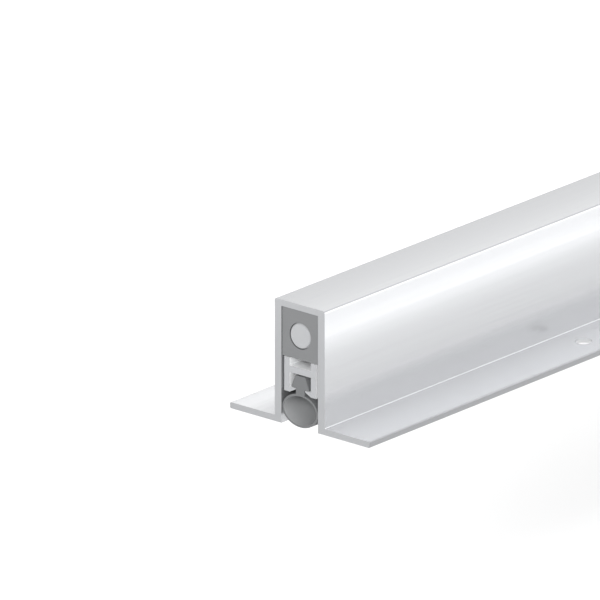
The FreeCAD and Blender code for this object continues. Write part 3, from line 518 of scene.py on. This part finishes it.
@dataclass
class SealCarrier(SubAssembly):
    """The H-shaped carrier and the rubber seal in its lower channel.

    Attributes:
        bulb_wall: Wall of the rubber tube.
        neck_side: Half the width of the neck.
        barb_foot: Height of the barbs' underside above the bulb's top.
        barb_edge: Height of the barbs' upright edge.
        barb_side: Half the width across the barbs.
        crown_side: Half the width of the root's flat top.
        barb_round: Rounding of the barbs' corners.
        around: Number of points round the bulb, outside the neck.
        top_points: Number of points round it, under the neck.
        barb_points: Number of points on each of the root's rounded corners.
        stations: Number of sections along the seal.
        crease: Edges that turn by more than this many degrees stay sharp.
    """

    bulb_wall: float = 0.5 * MM
    neck_side: float = 1.3 * MM
    barb_foot: float = 1.3 * MM
    barb_edge: float = 0.4 * MM
    barb_side: float = 2.6 * MM
    crown_side: float = 1.5 * MM
    barb_round: float = 0.15 * MM
    around: int = 120
    top_points: int = 5
    barb_points: int = 4
    stations: int = 41
    crease: float = 35.0

    @staticmethod
    def rounded(corners: np.ndarray, radius: float, steps: int) -> np.ndarray:
        """Rounds the inner corners of an open outline.

        Args:
            corners: An (n, 2) array. The first and last points stay as they are.
            radius: Distance from a corner at which its rounding starts and ends.
            steps: Number of points on each rounding.

        Returns:
            The outline's points: at each inner corner P with starts A and B on its two sides, the curve
            (1 - t)^2 A + 2 t (1 - t) P + t^2 B, for t from 0 to 1.
        """
        before, here, after = corners[:-2], corners[1:-1], corners[2:]
        start = here + (before - here) * (radius / np.linalg.norm(before - here, axis=1))[:, None]
        end = here + (after - here) * (radius / np.linalg.norm(after - here, axis=1))[:, None]
        t = np.linspace(0, 1, steps)[None, :, None]
        curves = (1 - t) ** 2 * start[:, None] + 2 * t * (1 - t) * here[:, None] + t ** 2 * end[:, None]
        return np.concatenate([corners[:1], curves.reshape(-1, 2), corners[-1:]])

    def outlines(self) -> tuple[np.ndarray, np.ndarray, np.ndarray]:
        """Works out the seal's section.

        Returns:
            Three (n, 2) arrays of Y and Z. The skin is the bulb's outside, the ellipse (a cos u, b sin u),
            open at its top between the neck's sides, where it goes on up the neck and round the
            arrow-shaped root. The second is the ellipse's missing top, under the neck. The bore is the
            whole ellipse, smaller by the wall.
        """
        low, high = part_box("seal")
        half_width = high.y
        carrier_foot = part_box("carrier_profile")[0].z
        half_height = (carrier_foot - low.z) / 2
        middle = low.z + half_height
        neck_angle = math.asin(self.neck_side / half_width)
        first, last = math.pi / 2 - neck_angle, -3 * math.pi / 2 + neck_angle
        round_way = np.linspace(first, last, self.around)
        over_top = np.linspace(last, last - 2 * neck_angle, self.top_points + 2)[1:-1]
        angles = np.concatenate([round_way, over_top])
        circle = np.stack([np.cos(angles), np.sin(angles)], -1)
        outer = circle * (half_width, half_height) + (0, middle)
        bore = circle * (half_width - self.bulb_wall, half_height - self.bulb_wall) + (0, middle)

        barb_z = carrier_foot + self.barb_foot
        left = [tuple(outer[self.around - 1]), (-self.neck_side, barb_z), (-self.barb_side, barb_z),
                (-self.barb_side, barb_z + self.barb_edge), (-self.crown_side, high.z)]
        right = [(-y, z) for y, z in reversed(left[1:])] + [tuple(outer[0])]
        root = self.rounded(np.array(left + right), self.barb_round, self.barb_points)[1:-1]
        return np.concatenate([outer[:self.around], root]), outer[self.around:], bore

    def make_seal(self) -> bpy.types.Object:
        """Works out the seal as an outline carried along X.

        Returns:
            The seal: its skin and its bore at every station, each closed on itself. Each end is closed by
            the ring between the bulb's outside and its bore, and by the root's face.
        """
        low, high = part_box("seal")
        skin, under_neck, bore_line = self.outlines()
        xs = np.linspace(low.x, high.x, self.stations)

        def carried(outline: np.ndarray, along: np.ndarray) -> np.ndarray:
            """Repeats an outline at each place along X."""
            grid = np.broadcast_to(outline, (len(along), *outline.shape))
            x = np.broadcast_to(along[:, None, None], (len(along), len(outline), 1))
            return np.concatenate([x, grid], -1).reshape(-1, 3)

        count, bore_count, top_count = len(skin), len(bore_line), len(under_neck)
        bore_first = self.stations * count
        top_first = bore_first + self.stations * bore_count
        points = np.concatenate([carried(skin, xs), carried(bore_line, xs),
                                 carried(under_neck, xs[[0, -1]])])
        faces: list[Sequence[int]] = ring_faces(self.stations, count, inward=True).tolist()
        faces += ring_faces(self.stations, bore_count, bore_first).tolist()
        for end, station in ((0, 0), (1, self.stations - 1)):
            ring = np.concatenate([station * count + np.arange(self.around),
                                   top_first + end * top_count + np.arange(top_count)])
            bore = bore_first + station * bore_count + np.arange(bore_count)
            quads = np.stack([ring, np.roll(ring, -1), np.roll(bore, -1), bore], -1)
            root = station * count + np.arange(self.around, count)
            arrow = np.concatenate([[ring[self.around - 1]], root, [ring[0]], ring[:self.around - 1:-1]])
            if end == 0:
                faces += quads[:, ::-1].tolist() + [arrow[::-1].tolist()]
            else:
                faces += quads.tolist() + [arrow.tolist()]
        return mesh_object("rubber_seal", points, faces, self.crease)

    def mark_bore(self, seal: bpy.types.Object) -> None:
        """Gives the bore's faces the second material, the one painted paler as painted light.

        Args:
            seal: The finished seal. Its bore's faces come straight after the skin's, one for each of the
                bore's points and each step between two stations.
        """
        steps = self.stations - 1
        bore_count = self.around + self.top_points
        skin_count = len(seal.data.polygons) - steps * bore_count - 2 * (bore_count + 1)
        which = np.zeros(len(seal.data.polygons), dtype=np.int32)
        which[skin_count:skin_count + steps * bore_count] = 1
        seal.data.polygons.foreach_set("material_index", which)

    def build(self) -> None:
        """Dresses the carrier and puts the made seal in the plain one's place."""
        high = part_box("carrier_profile")[1]
        # Mill-finish aluminium, extruded: duller than the channel, with a greyer sawn end. Its grey is
        # painted paler than the channel's: painted light for the inside of the channel, where shade falls.
        # Its natural oxide is chalky and scatters most of the light, so little of it is mirror-like.
        mill_painted_light = ExtrudedAluminium(
            name="mill_aluminium_painted_light", colour="#DCDDDE", tone="#D7D8D9", roughness=0.5, metallic=0.2,
            line_spacing=0.4, sawn="#8D8E90", sawn_from=high.x - END_SKIN)
        self.finish(["carrier_profile"], mill_painted_light.material())
        seal = self.make_seal()
        # Grey elastomer, extruded: soft and matt, a little bloomed.
        rubber = ExtrudedRubber(name="extruded_grey_rubber", colour="#565758", bloom="#5A5B5C",
                                roughness=0.7)
        # The same rubber in the bore, painted paler as painted light inside the tube, where shade falls;
        # and matt.
        bore_painted_light = ExtrudedRubber(name="rubber_bore_painted_light", colour="#868788", bloom="#8B8C8D",
                                roughness=0.85)
        dress(seal, rubber.material())
        seal.data.materials.append(bore_painted_light.material())
        self.mark_bore(seal)
        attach(seal, "carrier")
        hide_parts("seal")
        LOG.info("%s: %d points", seal.name, len(seal.data.vertices))


@dataclass
class ReturnSpring(SubAssembly):
    """The coil spring between the rod's collar and its fixed seat.

    Attributes:
        wire: Wire diameter.
        outside: Outside diameter of the coil.
        turns: Number of turns, the two closed end turns included.
        end_gap: Space between the coil and what it pushes on.
        round_wire: Number of points round the wire.
        per_turn: Number of sections in a turn.
        crease: Edges that turn by more than this many degrees stay sharp.
    """

    wire: float = 0.7 * MM
    outside: float = 7.6 * MM
    turns: float = 11.0
    end_gap: float = 0.05 * MM
    round_wire: int = 12
    per_turn: int = 36
    crease: float = 50.0

    def make_coil(self, start: float, end: float, axis_z: float) -> bpy.types.Object:
        """Works out the coil as a circle carried along a helix.

        Args:
            start: X of the coil's front, in metres.
            end: X of its back.
            axis_z: Height of its axis.

        Returns:
            The coil. Its line is (x(u), R cos u, R sin u), where x grows by one wire a turn over the
            closed end turns and evenly between them. The wire's circle lies in the plane of the outward
            direction and of the line's own upward one.
        """
        radius = (self.outside - self.wire) / 2
        u = np.linspace(0, 2 * math.pi * self.turns, int(self.turns * self.per_turn) + 1)
        turn = u / (2 * math.pi)
        knots = [0, 1, self.turns - 1, self.turns]
        first, last = start + self.wire / 2, end - self.wire / 2
        x = np.interp(turn, knots, [first, first + self.wire, last - self.wire, last])
        line = np.stack([x, radius * np.cos(u), radius * np.sin(u)], -1)
        tangent = np.gradient(line, axis=0)
        tangent /= np.linalg.norm(tangent, axis=1)[:, None]
        outward = np.stack([np.zeros_like(u), np.cos(u), np.sin(u)], -1)
        across = np.cross(tangent, outward)
        v = np.linspace(0, 2 * math.pi, self.round_wire, endpoint=False)
        circle = np.cos(v)[None, :, None] * outward[:, None] + np.sin(v)[None, :, None] * across[:, None]
        points = (line[:, None] + circle * self.wire / 2).reshape(-1, 3) + (0, 0, axis_z)
        rows = len(u)
        faces: list[Sequence[int]] = ring_faces(rows, self.round_wire).tolist()
        faces.append(list(range(self.round_wire))[::-1])
        faces.append(list(range((rows - 1) * self.round_wire, rows * self.round_wire)))
        return mesh_object("return_coil", points, faces, self.crease)

    def build(self) -> None:
        """Puts a made coil between the rod's collar and its seat, in the plain one's place."""
        collar_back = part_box("spring_collar")[1].x
        seat_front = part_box("spring_seat")[0].x
        rod_low, rod_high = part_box("link_rod")
        coil = self.make_coil(collar_back + self.end_gap, seat_front - self.end_gap,
                              (rod_low.z + rod_high.z) / 2)
        # Patented spring wire, drawn: darker than the plate and shiny along the wire.
        wire = PlatedSteel(name="drawn_spring_wire", colour="#A9AAAD", cloud="#98999C", roughness=0.25,
                           metallic=1.0)
        dress(coil, wire.material())
        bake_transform(coil)
        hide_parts("return_spring")
        LOG.info("%s: %d points", coil.name, len(coil.data.vertices))


# --------------------------------------------------------------------------------------------------
# Studio
# --------------------------------------------------------------------------------------------------
@dataclass(frozen=True)
class Card:
    """A glowing card that stands along the seal and faces it.

    Attributes:
        name: The light's name.
        across: Its Y, in metres.
        low: Height of its lower edge, in metres.
        high: Height of its upper edge.
        glow: Its radiance, where the world's is 1.
        length: Its length along X.
    """

    name: str
    across: float
    low: float
    high: float
    glow: float
    length: float = 0.8


@dataclass
class Studio:
    """A white sweep in a pale light tent, with a few cards, and a long lens.

    Attributes:
        gap: Height of the flanges over the floor, which leaves room for the seal to drop.
        floor_side: Width of the floor.
        floor_paper: The floor's finish.
        elevation: The camera's height angle in degrees.
        azimuth: The camera's turn in degrees; 0 looks along +Y.
        focal: Lens length in millimetres.
        film: Film width in millimetres.
        field: Width of what the camera sees at the button end, in metres.
        wall_beyond_block: From the guide block's side to the channel's outside: a wall of 2 mm and a
            clearance of 0.1 mm.
        aim_right: How far the lens points to the right of the channel's top left corner, in metres.
        aim_up: How far it points above that corner.
        nearest: Distance at which the lens starts to see, in metres.
        farthest: Distance at which it stops.
        tent_foot: Radiance of the tent's walls near the ground.
        tent_walls: Radiance of its walls at half height.
        tent_top: Radiance of its top as a share of the walls'.
        tent_rise: Heights of the directions over which the foot's radiance turns into the walls', where
            the horizon has 0 and straight up 1.
        tent_fade: Heights over which the walls' turns into the top's.
        fill: Light that the fill gives a surface facing it, where a world of 1 gives one 1.
        fill_from: Direction that the fill comes from.
        fill_spread: How wide the fill looks, in degrees.
        cards: The cards whose reflections run along the channel.
    """

    gap: float = 90 * MM
    floor_side: float = 60.0
    floor_paper: Finish = Finish(name="white_paper_sweep", colour="#F2F2F2", roughness=0.9)
    elevation: float = 19.4
    azimuth: float = -49.57
    focal: float = 1000.0
    film: float = 36.0
    field: float = 137.3 * MM
    wall_beyond_block: float = 2.1 * MM
    aim_right: float = 5.79 * MM
    aim_up: float = -0.55 * MM
    nearest: float = 0.1
    farthest: float = 100.0
    tent_foot: float = 1.06
    tent_walls: float = 1.3
    tent_top: float = 0.15
    tent_rise: tuple[float, float] = (0.33, 0.55)
    tent_fade: tuple[float, float] = (0.75, 0.92)
    fill: float = 1.08
    fill_from: tuple[float, float, float] = (-0.80, -0.43, 0.40)
    fill_spread: float = 22.0
    cards: tuple[Card, ...] = (
        Card("side_card", -32 * MM, 6 * MM, 10.6 * MM, 0.2),
        Card("side_strip", -32 * MM, 10.6 * MM, 12.6 * MM, 2.1),
        Card("edge_card", -32 * MM, 12.6 * MM, 14.6 * MM, 0.2),
        Card("flange_strip", -32 * MM, 19 * MM, 23 * MM, 3.0),
        Card("flange_card", -32 * MM, 23 * MM, 35 * MM, 1.8),
        Card("rear_strip", 40 * MM, 12.8 * MM, 15.6 * MM, 1.7),
        Card("rear_card", 40 * MM, 55 * MM, 100 * MM, 0.5),
    )

    def camera(self) -> None:
        """Places the camera so that it looks at the button end."""
        turn, tilt = math.radians(self.azimuth), math.radians(self.elevation)
        back = Vector((math.sin(turn) * math.cos(tilt), -math.cos(turn) * math.cos(tilt), math.sin(tilt)))
        right = Vector((math.cos(turn), math.sin(turn), 0))
        up = back.cross(right)
        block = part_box("end_guide_block")[1]
        low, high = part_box("housing")
        corner = Vector((low.x, block.y + self.wall_beyond_block, high.z))
        aim = corner + right * self.aim_right + up * self.aim_up
        lens = bpy.data.cameras.new("studio_lens")
        lens.lens = self.focal
        lens.sensor_width = self.film
        lens.clip_start = self.nearest
        lens.clip_end = self.farthest
        eye = bpy.data.objects.new("studio_camera", lens)
        eye.matrix_world = self.facing(aim + back * self.field * self.focal / self.film, right, back)
        bpy.context.scene.collection.objects.link(eye)
        bpy.context.scene.camera = eye

    @staticmethod
    def facing(place: Vector, right: Vector, back: Vector) -> Matrix:
        """The pose of a lamp or lens at a place, from its rightward and backward directions."""
        turned = Matrix((right, back.cross(right), back)).transposed().to_4x4()
        return Matrix.Translation(place) @ turned

    def floor(self) -> None:
        """Lays the pale floor."""
        corners = np.array([(-1, -1, 0), (1, -1, 0), (1, 1, 0), (-1, 1, 0)]) * self.floor_side / 2
        slab = mesh_object("studio_floor", corners - (0, 0, self.gap), [(0, 1, 2, 3)], 0)
        dress(slab, self.floor_paper.start()[0])

    def light(self, name: str, place: Vector, right: Vector, back: Vector, size: tuple[float, float],
              glow: float) -> None:
        """Hangs a soft rectangular light that the camera doesn't see.

        Args:
            name: The light's name.
            place: Its middle, in metres.
            right: The direction of its width.
            back: The direction away from what it lights.
            size: Its width and its height.
            glow: Its radiance. An even sheet gives off pi times its area times its radiance.
        """
        data = bpy.data.lights.new(name, "AREA")
        data.shape = "RECTANGLE"
        data.size, data.size_y = size
        data.energy = math.pi * size[0] * size[1] * glow
        lamp = bpy.data.objects.new(name, data)
        lamp.matrix_world = self.facing(place, right, back)
        lamp.visible_camera = False
        bpy.context.scene.collection.objects.link(lamp)

    def world(self) -> None:
        """Sets up the light tent: bright walls and a dimmer top, by the height of a direction."""
        world = bpy.data.worlds.new("light_tent")
        bpy.context.scene.world = world
        world.use_nodes = True
        tree = world.node_tree
        tree.nodes.clear()
        way = add_node(tree, "ShaderNodeTexCoord")
        height = add_node(tree, "ShaderNodeSeparateXYZ", {0: way.outputs["Generated"]}).outputs["Z"]
        walls = add_node(tree, "ShaderNodeMapRange", {
            "Value": height, "From Min": self.tent_rise[0], "From Max": self.tent_rise[1],
            "To Min": self.tent_foot, "To Max": self.tent_walls})
        top = add_node(tree, "ShaderNodeMapRange", {
            "Value": height, "From Min": self.tent_fade[0], "From Max": self.tent_fade[1],
            "To Min": 1.0, "To Max": self.tent_top})
        level = add_node(tree, "ShaderNodeMath", {0: walls.outputs["Result"], 1: top.outputs["Result"]},
                         operation="MULTIPLY")
        shade = add_node(tree, "ShaderNodeBackground", {"Strength": level.outputs[0]})
        add_node(tree, "ShaderNodeOutputWorld", {"Surface": shade.outputs["Background"]})
        shade.inputs["Color"].default_value = (1, 1, 1, 1)

    def front_fill(self) -> None:
        """Adds a broad distant fill, evenly bright over the whole sweep.

        It leaves no highlight, like light bounced off many walls, so the roof isn't burnt out from behind.
        """
        fill = bpy.data.lights.new("front_fill", "SUN")
        # A world of radiance 1 gives pi to a surface.
        fill.energy = self.fill * math.pi
        fill.angle = math.radians(self.fill_spread)
        lamp = bpy.data.objects.new("front_fill", fill)
        back = Vector(self.fill_from).normalized()
        lamp.matrix_world = self.facing(back, Vector((0, 0, 1)).cross(back).normalized(), back)
        lamp.visible_glossy = False
        bpy.context.scene.collection.objects.link(lamp)

    def build(self) -> None:
        """Sets up the world, the floor, the lights and the camera."""
        bpy.context.scene.view_settings.view_transform = "Standard"
        self.world()
        self.floor()
        for card in self.cards:
            middle = Vector((0, card.across, (card.low + card.high) / 2))
            back = Vector((0, math.copysign(1, card.across), 0))
            self.light(card.name, middle, Vector((1, 0, 0)), back, (card.length, card.high - card.low),
                       card.glow)
        self.front_fill()
        self.camera()


def main() -> None:
    """Builds the looks around the frame, in order."""
    logging.basicConfig(level=logging.INFO, format="%(name)s: %(message)s")
    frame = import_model()
    nodes = frame["nodes"]
    for made in (Housing, GuideBlocks, RodTrain, SealCarrier, ReturnSpring):
        made(nodes).build()
    Studio().build()


if __name__ == "__main__":
    main()
